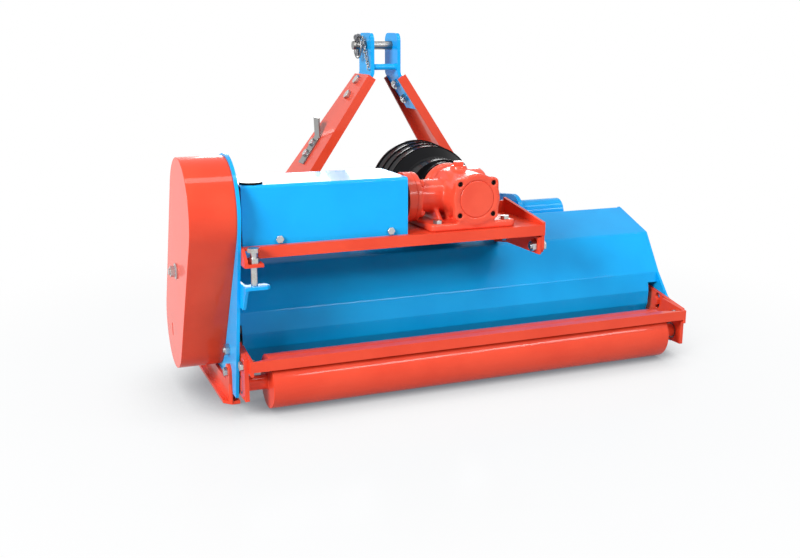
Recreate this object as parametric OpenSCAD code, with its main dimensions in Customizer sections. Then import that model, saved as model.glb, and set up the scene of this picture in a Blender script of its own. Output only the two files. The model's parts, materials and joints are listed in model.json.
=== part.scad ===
// Tractor flail mower with a rear roller, a side belt drive and a three-point hitch.
// X runs across the machine, +Y points to the tractor, Z is up and the ground is at zero.

/* [Chassis] */
// Clear width between the two side plates
inner_w = 970; // [900:10:1100]
// Thickness of the side plates
plate_t = 6; // [5:0.5:8]
// Thickness of the bent hood sheet
hood_t = 4; // [3:0.5:5]
// Height of the lower edge of the side plates
plate_floor = 22; // [18:1:26]
// Reach of the side plates ahead of the roller axis
plate_reach = 372; // [365:1:390]

/* [Rotor] */
// Distance of the rotor axis ahead of the roller axis
rotor_ahead = 190; // [185:1:200]
// Height of the rotor axis
rotor_z = 131; // [128:1:138]
// Outer diameter of the rotor tube
rotor_d = 70; // [60:1:72]
// Wall of the rotor tube
rotor_wall = 6; // [4:0.5:10]
// Radius of the flail pivots round the rotor axis
pivot_r = 50; // [49:0.5:54]
// Length of a flail from its pivot to its cutting edge
flail_l = 45; // [42:1:48]
// Width of the cutting edge of a flail
flail_w = 46; // [38:1:48]
// Thickness of a flail blade
flail_t = 8; // [6:0.5:9]
// Number of flails along the rotor, a multiple of three
flail_count = 18; // [12:3:18]
// Diameter of the flail bolts
flail_bolt_d = 12; // [10:0.5:14]
// Diameter of the rotor stub shafts
stub_d = 35; // [30:1:40]

/* [Belt drive] */
// Distance of the drive shaft axis ahead of the roller axis
shaft_ahead = 45; // [40:1:52]
// Height of the drive shaft axis
shaft_z = 376; // [372:1:384]
// Diameter of the drive shaft
shaft_d = 30; // [25:1:34]
// Outer diameter of the upper pulley
upper_d = 160; // [150:1:162]
// Outer diameter of the lower pulley
lower_d = 104; // [96:1:106]
// Number of belts side by side
belt_count = 3; // [2:1:3]
// Distance between neighbouring belts
belt_pitch = 15; // [15:0.5:16]
// Depth of the belt guard
guard_depth = 83; // [82:1:95]
// Wall of the belt guard
guard_t = 2; // [1.5:0.5:3]
// Radius of the upper lobe of the belt guard
guard_top_r = 95; // [95:1:98]
// Radius of the lower lobe of the belt guard
guard_low_r = 84; // [83:1:87]
// Upward travel of the drive frame that tightens the belts
tension_travel = 8; // [4:1:8]

/* [Drive frame] */
// Height of the drive shaft above the top of the drive frame
shaft_rise = 58; // [56:1:62]
// Sheet thickness of the drive frame
frame_t = 6; // [5:0.5:7]
// Depth of the bent lips of the drive frame
lip_h = 21; // [18:1:22]
// Distance from the drive shaft axis to the rear edge of the drive frame
frame_back = 85; // [80:1:88]
// Distance from the drive shaft axis to the front edge of the drive frame
frame_front = 83; // [78:1:84]
// Distance from the input axis to the right end plate of the drive frame
frame_right = 140; // [120:1:160]
// Height of the shaft cover
cover_h = 107; // [106:1:116]
// Sheet thickness of the shaft cover
cover_t = 2.5; // [2:0.5:3]

/* [Gearbox] */
// Offset of the input axis from the middle of the machine
input_x = -24; // [-60:1:20]
// Diameter of the gearbox body
box_d = 98; // [90:1:104]
// Distance from the drive shaft axis to the rear face of the gearbox
box_back = 78; // [74:1:82]
// Distance from the drive shaft axis to the front face of the gearbox
box_front = 67; // [62:1:70]
// Outer diameter of the splined input shaft
spline_d = 34.9; // [30:0.1:38]
// Free length of the splined input shaft
spline_l = 96; // [80:1:100]
// Outer radius of the input shaft guard
bell_r = 105; // [96:1:106]
// Length of the input shaft guard
bell_l = 160; // [150:1:164]

/* [Roller] */
// Outer diameter of the ground roller
roller_d = 102; // [96:1:104]
// Length of the ground roller
roller_l = 866; // [820:2:900]
// Wall of the roller tube
roller_wall = 5; // [4:0.5:8]
// Diameter of the roller stub shafts
roller_stub_d = 28; // [24:1:30]
// Thickness of the roller arms
arm_t = 8; // [6:0.5:10]
// Distance of the arm pivots ahead of the roller axis
arm_pivot_ahead = 115; // [110:1:120]
// Height of the arm pivots
arm_pivot_z = 105; // [100:1:110]
// Distance of the rear bar behind the roller axis
bar_back = 40; // [38:1:44]
// Height of the top of the rear bar
bar_z = 107; // [105:1:110]
// Width of the top flange of the rear bar
bar_w = 20; // [16:1:24]
// Height of the rear flange of the rear bar
bar_h = 20; // [18:1:22]
// Sheet thickness of the rear bar
bar_t = 5; // [4:0.5:6]

/* [Skids] */
// Width of a skid sole
skid_w = 30; // [26:1:36]
// Thickness of the skid sheet
skid_t = 6; // [5:0.5:8]
// Distance of the rear end of a skid ahead of the roller axis
skid_rear = 47; // [44:1:60]

/* [Hitch] */
// Distance of the rear flange of the uprights ahead of the roller axis
hitch_ahead = 440; // [430:1:460]
// Height of the top link pin
top_pin_z = 658; // [650:1:670]
// Diameter of the top link pin
top_pin_d = 19; // [16:0.5:22]
// Clear gap between the top link plates
top_gap = 56; // [50:1:60]
// Thickness of the top link plates
top_plate_t = 8; // [6:0.5:10]
// Width of the top of the uprights
channel_w = 94; // [90:1:100]
// Width of the foot of the uprights
foot_w = 186; // [150:1:190]
// Width of the flanges of the uprights
channel_flange = 21; // [18:1:24]
// Sheet thickness of the uprights
channel_t = 6; // [5:0.5:7]
// Height where the outer faces of the uprights meet the hitch arms
foot_z = 272; // [260:1:284]
// Outer diameter of the front cross tube
tube_d = 60; // [54:1:62]
// Wall of the front cross tube
tube_wall = 5; // [4:0.5:8]
// Length of the front cross tube outside each hitch arm
tube_overhang = 114; // [100:1:124]
// Distance between the shoulders of the lower link pins
lower_spread = 683; // [660:1:720]
// Height of the lower link pins
lower_pin_z = 200; // [198:1:205]
// Diameter of the lower link pins
lower_pin_d = 22; // [20:0.5:24]
// Free length of a lower link pin
lower_pin_l = 66; // [50:1:80]

/* [Hidden] */
$fn = 64;

// Paint and metal colours
orange_paint = [0.86, 0.16, 0.07];
blue_paint = [0.06, 0.48, 0.83];
zinc = [0.76, 0.77, 0.78];
steel = [0.55, 0.56, 0.58];
black_plastic = [0.06, 0.06, 0.065];
rubber = [0.05, 0.05, 0.05];

// Overrun of every cut and the clearances that the fits share
over = 1;
run_gap = 0.05;
seat_gap = 0.3;
hole_gap = 0.5;

// Outline of the machine round its own middle
half_in = inner_w / 2;
half_out = half_in + plate_t;
bearing_l = 28;
nut_reach = 15;
left_reach = half_out + guard_depth + nut_reach;
right_reach = half_out + bearing_l;
mid_x = (left_reach - right_reach) / 2;

// Positions in the side view as ahead of the roller axis and height
roller_r = roller_d / 2;
rotor_at = [rotor_ahead, rotor_z];
shaft_at = [shaft_ahead, shaft_z];
roller_ahead = 10;
roller_at = [roller_ahead, roller_r];
arm_pivot_at = [arm_pivot_ahead, arm_pivot_z];
swing_r = pivot_r + flail_l;

// Fasteners
m10 = 10;
m12 = 12;
m8 = 8;
af_share = 1.6;
head_share = 0.65;
nut_share = 0.8;
thread_tail = 3;

// Steps of a rounded sheet bend
bend_count = 3;

// Straight helpers
function unit(v) = v / norm(v);
function polar(c, r, a) = c + r * [cos(a), sin(a)];
function tangent_point(c, r, p, side) =
    polar(c, r, atan2(p.y - c.y, p.x - c.x) + side * acos(r / norm(p - c)));
function lerp(a, b, s) = a + (b - a) * s;
function left_normal(a, b) = let (d = unit(b - a)) [-d.y, d.x];

// Points of a path after each inner corner is rounded to radius r with n steps
function round_corner(a, b, c, r, n) =
    let (u = unit(a - b), v = unit(c - b), half = acos(u * v) / 2, reach = r / tan(half))
    let (p = b + u * reach, q = b + v * reach, m = b + unit(u + v) * (r / sin(half)))
    let (from = atan2(p.y - m.y, p.x - m.x), turn = atan2(q.y - m.y, q.x - m.x) - from)
    let (sweep = turn > 180 ? turn - 360 : turn < -180 ? turn + 360 : turn)
    [for (i = [0 : n]) polar(m, r, from + sweep * i / n)];
function round_path(p, r, n) = concat([p[0]],
    [for (i = [1 : len(p) - 2]) each round_corner(p[i - 1], p[i], p[i + 1], r, n)], [p[len(p) - 1]]);

// A path moved sideways by t with mitred corners, and the outline of a sheet bent along it
function shift_path(p, t) = [for (i = [0 : len(p) - 1])
    let (n0 = i > 0 ? left_normal(p[i - 1], p[i]) : left_normal(p[0], p[1]))
    let (n1 = i < len(p) - 1 ? left_normal(p[i], p[i + 1]) : n0)
    p[i] + (n0 + n1) * (t / (1 + n0 * n1))];
function reversed(p) = [for (i = [len(p) - 1 : -1 : 0]) p[i]];
function sheet_outline(p, t) = concat(p, reversed(shift_path(p, t)));

// Frame and direction helpers
module on_machine() translate([mid_x, mid_y, 0]) children();
module at_input() translate([input_x, 0, 0]) children();
module both_sides() {
    children();
    mirror([1, 0, 0]) children();
}
module side_view(x, t) translate([x, 0, 0]) rotate([90, 0, 90]) linear_extrude(t) children();
module rear_view(y, t) translate([0, y + t, 0]) rotate([90, 0, 0]) linear_extrude(t) children();
module along_x(x, p) translate([x, p.x, p.y]) rotate([0, 90, 0]) children();
module along_y(x, y, z) translate([x, y, z]) rotate([-90, 0, 0]) children();
module rod_x(x0, x1, p, d) along_x(x0, p) cylinder(d = d, h = x1 - x0);
module rod_y(x, y0, y1, z, d) along_y(x, y0, z) cylinder(d = d, h = y1 - y0);
module hole_x(x0, x1, p, d) rod_x(x0 - over, x1 + over, p, d);
module slot_up(p, d, travel) {
    translate(p) circle(d = d);
    translate(p + [-d / 2, 0]) square([d, travel]);
    translate(p + [0, travel]) circle(d = d);
}
module rounded_rect(w, h, r) {
    square([w - 2 * r, h], center = true);
    square([w, h - 2 * r], center = true);
    for (sx = [-1, 1], sy = [-1, 1]) translate([sx * (w / 2 - r), sy * (h / 2 - r)]) circle(r);
}

// Two round ends joined by their outer tangents
module strap(a, ra, b, rb) {
    base = atan2(b.y - a.y, b.x - a.x);
    half = acos((ra - rb) / norm(b - a));
    translate(a) circle(ra);
    translate(b) circle(rb);
    polygon([polar(a, ra, base + half), polar(a, ra, base - half), polar(b, rb, base - half),
        polar(b, rb, base + half)]);
}

// A hex bolt along +Z: head below zero, shank through the grip, nut above it
module hex_bolt(d, grip, nut = true) {
    af = d * af_share;
    translate([0, 0, -d * head_share]) cylinder(d = af / cos(30), h = d * head_share, $fn = 6);
    cylinder(d = d, h = grip + (nut ? d * nut_share + thread_tail : 0));
    if (nut) translate([0, 0, grip]) cylinder(d = af / cos(30), h = d * nut_share, $fn = 6);
}

// Belt drive planes, from the left side plate outwards
pulley_gap = 3;
pulley_side = 8;
pulley_w = belt_pitch * (belt_count - 1) + 2 * pulley_side;
pulley_x = -half_out - bearing_l - pulley_gap - pulley_w;
belt_h = 8;
belt_top_w = 13;
belt_angle = 20;
belt_proud = 1.5;
guard_low_back = 15;
guard_low_at = rotor_at - [guard_low_back, 0];
guard_x = -half_out - guard_depth;
plate_margin = 4;
plate_top_r = guard_top_r + plate_margin;

// Bearing housings of the rotor
flange_r = 52;
flange_t = 12;
boss_d = 62;
flange_bolt_r = 42;
rotor_hole_d = 58;
flange_angle = 45;

// Skid bolts as ahead of the roller axis and height
skid_bolt_rear = [61, 62];
chin_run = 42;
skid_bolt_run = 52;
plate_chin = plate_reach - chin_run;
skid_bolt_front = [plate_chin - skid_bolt_run, 33];
skid_bolts_at = [skid_bolt_rear, skid_bolt_front];
// Bolts that set the height of the roller arms
set_bolt_at = [63, arm_pivot_z];

// Guard stud between the two belt runs
stud_d = 12;
stud_share = 0.5;
stud_back = 10;
stud_at = lerp(shaft_at, rotor_at, stud_share) - [stud_back, 0];

// Drive frame bolts round the drive shaft, in slots of the left plate
frame_bolt_y = 46;
frame_bolt_z = 32;
frame_bolts_at = [for (sy = [-1, 1], sz = [-1, 1]) shaft_at + [sy * frame_bolt_y, sz * frame_bolt_z]];
shaft_slot_d = 50;

// Hood profile round the rotor: gap outside the swing circle and angle of each bend
hood_front_from_rotor = [162, 83];
hood_top_from_rotor = [59, 156];
hood_front_at = rotor_at + hood_front_from_rotor;
hood_top_at = rotor_at + hood_top_from_rotor;
hood_gaps = [31, 14.5, 17, 21, 22];
hood_angles = [114.3, 161.9, 183, 198, 218];
hood_bend_r = 10;
hood_bends = [for (i = [0 : len(hood_gaps) - 1]) polar(rotor_at, swing_r + hood_gaps[i], hood_angles[i])];
hood_path = concat([hood_front_at, hood_top_at], hood_bends);
notch_w = 24;
notch_drop = 22;
notch_z = hood_bends[1].y - notch_drop;

// Plate outlines
plate_rear = 21;
plate_nose_z = 60;
plate_brow_z = 214;
right_tail = [42, 112];
right_heel = [14, 84];
flap_rod_d = 14;
flap_rod_back = 20;
flap_rod_at = [plate_reach - flap_rod_back, 196];

module plate_holes(x) {
    hole_x(x, x + plate_t, rotor_at, rotor_hole_d);
    for (a = [0 : 90 : 270]) hole_x(x, x + plate_t, polar(rotor_at, flange_bolt_r, a + flange_angle), m10 + 2
        * hole_gap);
    for (p = skid_bolts_at) hole_x(x, x + plate_t, p, m10 + 2 * hole_gap);
    for (p = [arm_pivot_at, set_bolt_at]) hole_x(x, x + plate_t, p, m12 + 2 * hole_gap);
    hole_x(x, x + plate_t, flap_rod_at, flap_rod_d + 2 * seat_gap);
}

// Left side plate: runs up behind the belt guard and carries rotor, belt drive and guard
module left_side_plate() {
    rear_low = [plate_rear, plate_floor];
    front_high = [plate_reach, plate_brow_z];
    color(blue_paint) on_machine() difference() {
        side_view(-half_out, plate_t) {
            translate(shaft_at) circle(plate_top_r);
            polygon([tangent_point(shaft_at, plate_top_r, rear_low, -1), rear_low,
                [plate_chin, plate_floor],
                [plate_reach, plate_nose_z], front_high, tangent_point(shaft_at, plate_top_r, front_high,
                    1),
                shaft_at]);
        }
        plate_holes(-half_out);
        side_view(-half_out - over, plate_t + 2 * over) {
            slot_up(shaft_at, shaft_slot_d, tension_travel);
            for (p = frame_bolts_at) slot_up(p, m10 + 2 * hole_gap, tension_travel);
        }
        hole_x(-half_out, -half_in, stud_at, stud_d + 2 * seat_gap);
    }
}

// Right side plate: follows the hood and runs back to the roller arm
module right_side_plate() color(blue_paint) on_machine() difference() {
    side_view(half_in, plate_t) polygon(concat([[plate_reach, plate_brow_z], hood_front_at, hood_top_at,
        hood_bends[0], hood_bends[1], right_tail, right_heel, [plate_rear, plate_floor],
        [plate_chin, plate_floor], [plate_reach, plate_nose_z]]));
    plate_holes(half_in);
}

// Hood: one sheet folded over the rotor, notched at its rear corners for the roller arms
module hood() color(blue_paint) on_machine() difference() {
    side_view(-half_in, inner_w) polygon(sheet_outline(round_path(hood_path, hood_bend_r, bend_count),
        hood_t));
    both_sides() translate([half_in - notch_w, 0, 0]) cube([notch_w + over, rotor_ahead, notch_z]);
}

// Support lug on the hood that holds the right end of the drive frame
frame_top = shaft_z - shaft_rise;
frame_rear = shaft_ahead - frame_back;
frame_fore = shaft_ahead + frame_front;
frame_right_x = input_x + frame_right;
leg_drop = 44;
leg_r = 15;
leg_inset = 17;
legs_at = [[frame_rear + leg_inset, frame_top - leg_drop], [frame_fore - leg_inset - leg_r, frame_top
    - leg_drop]];
support_t = 6;
support_headroom = 4;
support_x = frame_right_x - support_t - seat_gap;
support_shares = [0.1, 0.5];
module frame_support() {
    foot_a = lerp(hood_bends[0], hood_top_at, support_shares[0]);
    foot_b = lerp(hood_bends[0], hood_top_at, support_shares[1]);
    low = legs_at[0].y - leg_r;
    high = frame_top - lip_h - support_headroom;
    rear = legs_at[0].x - leg_r;
    color(blue_paint) on_machine() side_view(support_x, support_t) difference() {
        polygon([[rear, low], [legs_at[1].x, low], foot_a, foot_b, [foot_b.x, high], [rear, high]]);
        for (p = legs_at) slot_up(p, m12 + 2 * hole_gap, tension_travel);
    }
}

// Cross tube on the front sheet of the hood
tube_along = 63;
tube_at = hood_top_at + unit(hood_front_at - hood_top_at) * tube_along
    + left_normal(hood_top_at, hood_front_at) * (tube_d / 2 + seat_gap);
module cross_tube() color(blue_paint) on_machine() at_input() difference() {
    rod_x(-tube_half, tube_half, tube_at, tube_d);
    hole_x(-tube_half, tube_half, tube_at, tube_d - 2 * tube_wall);
}

// Hitch arms: plates threaded on the cross tube that carry the uprights and the lower link pins
hitch_arm_t = 10;
collar_l = 69.5;
hitch_arm_x = lower_spread / 2 - collar_l - hitch_arm_t;
tube_half = hitch_arm_x + hitch_arm_t + tube_overhang;
hitch_fore = hitch_ahead + foot_w;
hitch_eye = 16;
hitch_pad_r = 34;
hitch_rise = 90;
pin_inset = 58;
lower_pin_at = [hitch_fore - pin_inset, lower_pin_z];
module hitch_arm() {
    eye_r = tube_d / 2 + hitch_eye;
    way = lower_pin_at - tube_at;
    low = atan2(way.y, way.x) - acos((eye_r - hitch_pad_r) / norm(way));
    lift = seat_gap * left_normal(hood_top_at, hood_front_at);
    difference() {
        union() {
            rod_x(hitch_arm_x, hitch_arm_x + hitch_arm_t, tube_at, 2 * eye_r);
            rod_x(hitch_arm_x, hitch_arm_x + hitch_arm_t, lower_pin_at, 2 * hitch_pad_r);
            side_view(hitch_arm_x, hitch_arm_t) polygon([tube_at, tube_at + [0, eye_r],
                [hitch_fore, lower_pin_z + hitch_rise], [hitch_fore, lower_pin_z], lower_pin_at,
                polar(lower_pin_at, hitch_pad_r, low), polar(tube_at, eye_r, low)]);
        }
        side_view(hitch_arm_x - over, hitch_arm_t + 2 * over) polygon([hood_top_at + lift,
            hood_front_at + lift, [hood_front_at.x, 0], [0, 0], [0, hood_top_at.y]]);
        hole_x(hitch_arm_x, hitch_arm_x + hitch_arm_t, tube_at, tube_d + 2 * seat_gap);
        hole_x(hitch_arm_x, hitch_arm_x + hitch_arm_t, lower_pin_at, lower_pin_d + 2 * seat_gap);
    }
}
module left_hitch_arm() color(blue_paint) on_machine() at_input() mirror([1, 0, 0]) hitch_arm();
module right_hitch_arm() color(blue_paint) on_machine() at_input() hitch_arm();

// Lower link pins: studs with a collar up to the shoulder and a nut inside the arm
collar_d = 40;
pin_nut_d = 34;
pin_nut_l = 16;
module lower_link_pins() color(steel) on_machine() at_input() both_sides() {
    rod_x(hitch_arm_x - pin_nut_l, lower_spread / 2 + lower_pin_l, lower_pin_at, lower_pin_d);
    rod_x(hitch_arm_x + hitch_arm_t, lower_spread / 2, lower_pin_at, collar_d);
    along_x(hitch_arm_x - pin_nut_l, lower_pin_at) cylinder(d = pin_nut_d / cos(30), h = pin_nut_l,
        $fn = 6);
}

// Uprights: tapered channels that lean in to the top link plates, open to the inside
upright_drop = 64;
upright_nest = 8.7;
top_plate_out = top_gap / 2 + top_plate_t;
upright_top = [top_plate_out + upright_nest, top_pin_z - upright_drop];
lean = atan2(hitch_arm_x - upright_top.x, upright_top.y - foot_z);
upright_l = (hitch_arm_x - upright_top.x + channel_flange) / sin(lean);
taper = atan2(foot_w - channel_w, upright_l);
leg_bolts = [18, 58];
nest = channel_t + seat_gap;
plate_side_gap = 1;
plate_rear_y = hitch_ahead + channel_t + plate_side_gap;
plate_w = channel_w - 2 * channel_t - 2 * plate_side_gap;
top_pin_at = [plate_rear_y + plate_w / 2, top_pin_z];

// Place along an upright: s down its outer face and n inwards, as across and height
function on_upright(s, n) = upright_top + s * [sin(lean), -cos(lean)] - n * [cos(lean), sin(lean)];
module in_upright() translate([upright_top.x, hitch_ahead, upright_top.y]) rotate([0, 180 - lean, 0])
    children();
module leg_bolt_places() for (s = leg_bolts) in_upright() translate([0, top_pin_at.x - hitch_ahead, s])
    rotate([0, 90, 0]) children();

// Shaft holder bolts down the left upright
holder_t = 4;
holder_from = 62;
holder_w = 36;
holder_ends = [247, 172, 137];
holder_hook = 26;
holder_bolts = [192, 221];
module holder_bolt_places() for (s = holder_bolts) in_upright()
    translate([-holder_t, holder_from + holder_w / 2, s])
    rotate([0, 90, 0]) children();

module upright(holder = false) difference() {
    in_upright() {
        side_view(0, channel_t) polygon([[0, 0], [channel_w, 0], [foot_w, upright_l], [0, upright_l]]);
        cube([channel_flange, channel_t, upright_l]);
        translate([0, channel_w, 0]) rotate([-taper, 0, 0]) translate([0, -channel_t, 0])
            cube([channel_flange, channel_t, norm([foot_w - channel_w, upright_l])]);
    }
    translate([hitch_arm_x, hitch_ahead - over, 0]) cube([upright_l, foot_w + 2 * over, upright_top.y]);
    leg_bolt_places() translate([0, 0, -over]) cylinder(d = m12 + 2 * hole_gap, h = channel_t + 2 * over);
    if (holder) holder_bolt_places() cylinder(d = m10 + 2 * hole_gap, h = holder_t + channel_t + over);
}
module left_upright() color(orange_paint) on_machine() at_input() mirror([1, 0, 0]) upright(true);
module right_upright() color(orange_paint) on_machine() at_input() upright();

// Top link plates: bent along the uprights and bolted inside them
top_leg_l = 90;
top_edge = 28;
top_round = 18;
top_bend_r = 14;
chain_eye_inset = 5;
chain_eye_drop = 52;
chain_eye_at = [plate_rear_y + chain_eye_inset, top_pin_z - chain_eye_drop];
eye_r = 3.6;
eye_wire = 2.4;
module eyelet() rotate_extrude() translate([eye_r, 0]) circle(d = eye_wire);
module top_plate() {
    bend_s = (top_plate_out - upright_top.x + nest * cos(lean)) / sin(lean);
    top_z = top_pin_z + top_edge;
    path = [on_upright(top_leg_l, nest), on_upright(bend_s, nest), [top_plate_out, top_z]];
    difference() {
        intersection() {
            rear_view(plate_rear_y, plate_w) polygon(sheet_outline(round_path(path, top_bend_r, bend_count),
                top_plate_t));
            side_view(0, path[0].x + over) {
                translate([plate_rear_y, 0]) square([plate_w, top_z - top_round]);
                for (y = [top_round, plate_w - top_round]) translate([plate_rear_y + y, top_z - top_round])
                    circle(top_round);
                translate([plate_rear_y + top_round, 0]) square([plate_w - 2 * top_round, top_z]);
            }
        }
        hole_x(0, top_plate_out, top_pin_at, top_pin_d + 2 * seat_gap);
        leg_bolt_places() cylinder(d = m12 + 2 * hole_gap, h = nest + top_plate_t + over);
    }
}
module left_top_plate() color(blue_paint) on_machine() at_input() mirror([1, 0, 0]) {
    top_plate();
    translate([top_plate_out + eye_wire / 2, chain_eye_at.x, chain_eye_at.y]) eyelet();
}
module right_top_plate() color(blue_paint) on_machine() at_input() top_plate();

// Spacer between the top link plates
spacer_d = 14;
spacer_inset = 10;
spacer_drop = 48;
spacer_at = [plate_rear_y + spacer_inset, top_pin_z - spacer_drop];
module spacer_tube() color(blue_paint) on_machine() at_input() rod_x(-top_gap / 2, top_gap / 2, spacer_at,
    spacer_d);

// Top link pin with a head on the right and a cross hole for the linchpin on the left
pin_tail = 30;
pin_head_d = 30;
pin_head_t = 6;
link_pin_out = 18;
link_pin_x = -top_plate_out - link_pin_out;
link_pin_d = 9;
module top_link_pin() color(zinc) on_machine() at_input() difference() {
    union() {
        rod_x(-top_plate_out - pin_tail, top_plate_out + pin_head_t, top_pin_at, top_pin_d);
        rod_x(top_plate_out, top_plate_out + pin_head_t, top_pin_at, pin_head_d);
    }
    translate([link_pin_x, top_pin_at.x, top_pin_z - top_pin_d]) cylinder(d = link_pin_d + 2 * seat_gap,
        h = 2 * top_pin_d);
}

// Linchpin through the cross hole: shank, barrel head with a bore for the ring, and an eye for the chain
barrel_d = 16;
barrel_l = 10;
shank_tail = 14;
ring_wire = 3.5;
ring_bore = 5.2;
ring_r = 23;
barrel_z = top_pin_z + top_pin_d / 2 + seat_gap + barrel_d / 2;
link_eye_in = 0.6;
link_eye_at = [link_pin_x + barrel_d / 2 - link_eye_in, top_pin_at.x - barrel_l / 2 - eye_r];
module linchpin() color(steel) on_machine() at_input() {
    difference() {
        union() {
            translate([link_pin_x, top_pin_at.x, top_pin_z - top_pin_d / 2 - shank_tail])
                cylinder(d = link_pin_d, h = barrel_z - top_pin_z + top_pin_d / 2 + shank_tail);
            rod_y(link_pin_x, top_pin_at.x - barrel_l / 2, top_pin_at.x + barrel_l / 2, barrel_z, barrel_d);
            translate([link_eye_at.x, link_eye_at.y, barrel_z]) eyelet();
        }
        rod_y(link_pin_x, top_pin_at.x - barrel_l, top_pin_at.x + barrel_l, barrel_z, ring_bore);
    }
}

// Spring ring that hangs in the bore of the linchpin and snaps round the top link pin
module linchpin_ring() color(zinc) on_machine() at_input()
    translate([link_pin_x, top_pin_at.x, barrel_z - ring_r]) rotate([0, 90, 0]) rotate_extrude()
        translate([ring_r, 0]) circle(d = ring_wire);

// Safety chain from the linchpin eye to the eye on the left top link plate
link_in = 7;
link_w = 3.4;
link_wire = 2;
link_gap = 0.3;
chain_from = [link_eye_at.x, link_eye_at.y - eye_r, barrel_z];
chain_to = [-top_plate_out - eye_wire / 2 - eye_r, chain_eye_at.x, chain_eye_at.y];
chain_way = unit(chain_to - chain_from);
link_start = (link_in - eye_wire) / 2 - 2 * link_gap;
chain_run = norm(chain_to - chain_from) - 2 * link_start;
chain_links = 2 * ceil((chain_run / (link_in - link_gap) + 1) / 2);
chain_pitch = chain_run / (chain_links - 1);
module chain_link() {
    bow = (link_w + link_wire) / 2;
    straight = (link_in - link_w) / 2;
    for (side = [0, 180]) rotate([0, side, 0]) {
        translate([bow, 0, -straight]) cylinder(d = link_wire, h = 2 * straight);
        translate([0, 0, straight]) rotate([90, 0, 0]) rotate_extrude(angle = 180) translate([bow, 0])
            circle(d = link_wire);
    }
}
module linchpin_chain() {
    turn = atan2(chain_way.y, chain_way.x);
    tilt = acos(chain_way.z);
    across = unit([1, 0, 0] - chain_way.x * chain_way);
    own_x = [cos(tilt) * cos(turn), cos(tilt) * sin(turn), -sin(tilt)];
    own_y = [-sin(turn), cos(turn), 0];
    roll = atan2(-across * own_x, across * own_y);
    color(zinc) on_machine() at_input() for (i = [0 : chain_links - 1])
        translate(chain_from + chain_way * (link_start + i * chain_pitch))
            rotate([0, tilt, turn]) rotate([0, 0, roll + 90 * i]) chain_link();
}

// Holder strap for the input shaft, bent away from the left upright at its top
module shaft_holder() color(zinc) on_machine() at_input() mirror([1, 0, 0]) difference() {
    in_upright() rear_view(holder_from, holder_w)
        polygon(sheet_outline([[0, holder_ends[0]], [0, holder_ends[1]], [-holder_hook, holder_ends[2]]],
            -holder_t));
    holder_bolt_places() translate([0, 0, -over]) cylinder(d = m10 + 2 * hole_gap, h = holder_t + 2 * over);
}

// Bolts of the top link plates and of the shaft holder
module hitch_bolts() color(zinc) on_machine() at_input() {
    both_sides() leg_bolt_places() hex_bolt(m12, nest + top_plate_t);
    mirror([1, 0, 0]) holder_bolt_places() hex_bolt(m10, holder_t + channel_t);
}

// Belt guard: a deep pressed cup over both pulleys with an inspection slot
slot_w = 7;
slot_l = 26;
slot_drop = 12;
slot_at = rotor_at - [0, slot_drop];
module belt_guard() color(orange_paint) on_machine() difference() {
    side_view(guard_x, guard_depth) strap(shaft_at, guard_top_r, guard_low_at, guard_low_r);
    side_view(guard_x + guard_t, guard_depth) strap(shaft_at, guard_top_r - guard_t, guard_low_at,
        guard_low_r - guard_t);
    hole_x(guard_x, guard_x + guard_t, stud_at, stud_d + 2 * seat_gap);
    side_view(guard_x - over, guard_t + 2 * over) translate(slot_at) rounded_rect(slot_w, slot_l, slot_w / 2
        - run_gap);
}

// Stud that carries the guard, nutted to the side plate, with a shoulder behind the guard
stud_nut_d = 19;
stud_nut_l = 8;
shoulder_d = 22;
shoulder_l = 6;
module guard_stud() color(zinc) on_machine() {
    rod_x(guard_x - nut_reach, -half_in + stud_nut_l, stud_at, stud_d);
    rod_x(guard_x + guard_t + seat_gap, guard_x + guard_t + seat_gap + shoulder_l, stud_at, shoulder_d);
    rod_x(-half_out - shoulder_l, -half_out, stud_at, shoulder_d);
    along_x(-half_in, stud_at) cylinder(d = stud_nut_d / cos(30), h = stud_nut_l, $fn = 6);
}

// Flanged nut that holds the guard
nut_flange_d = 30;
nut_flange_t = 3;
guard_nut_l = 12;
module guard_nut() color(zinc) on_machine() difference() {
    union() {
        rod_x(guard_x - nut_flange_t, guard_x, stud_at, nut_flange_d);
        along_x(guard_x - guard_nut_l, stud_at) cylinder(d = stud_nut_d / cos(30), h = guard_nut_l,
            $fn = 6);
    }
    hole_x(guard_x - guard_nut_l, guard_x, stud_at, stud_d + 2 * run_gap);
}

// Tension bolt: stands on a bracket of the side plate and lifts the drive frame by its tab
end_x = -half_in + seat_gap;
tension_in = 19;
tension_back = 13;
tension_edge = 13;
tension_x = end_x + tension_in;
tension_y = frame_rear - tension_back;
tab_drop = 25;
tab_top = frame_top - tab_drop;
tab_rear = tension_y - tension_edge;
mid_y = (max(bar_back, roller_r - roller_ahead, -tab_rear) - hitch_fore) / 2;
bracket_drop = 66;
bracket_top = frame_top - bracket_drop;
bracket_t = 6;
bracket_h = 46;
bracket_w = 46;
bracket_fore = tension_y + tension_edge;
bracket_root = frame_rear + bracket_h;
bolt_reach = 60;
module tension_bracket() color(blue_paint) on_machine() {
    side_view(-half_in, bracket_t) polygon([[tab_rear, bracket_top], [bracket_root, bracket_top],
        [bracket_root, bracket_top - bracket_h], [bracket_fore, bracket_top - bracket_h],
            [tab_rear, bracket_top - bracket_t]]);
    translate([-half_in, tab_rear, bracket_top - bracket_t]) linear_extrude(bracket_t)
        polygon([[0, 0], [bracket_w - bracket_t, 0], [bracket_w, bracket_t], [bracket_w, bracket_fore
            - tab_rear - bracket_t],
            [bracket_w - bracket_t, bracket_fore - tab_rear], [0, bracket_fore - tab_rear]]);
}
module tension_bolt() color(zinc) on_machine() translate([tension_x, tension_y, bracket_top + bolt_reach])
    rotate([180, 0, 0]) hex_bolt(m12, bolt_reach, false);
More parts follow.
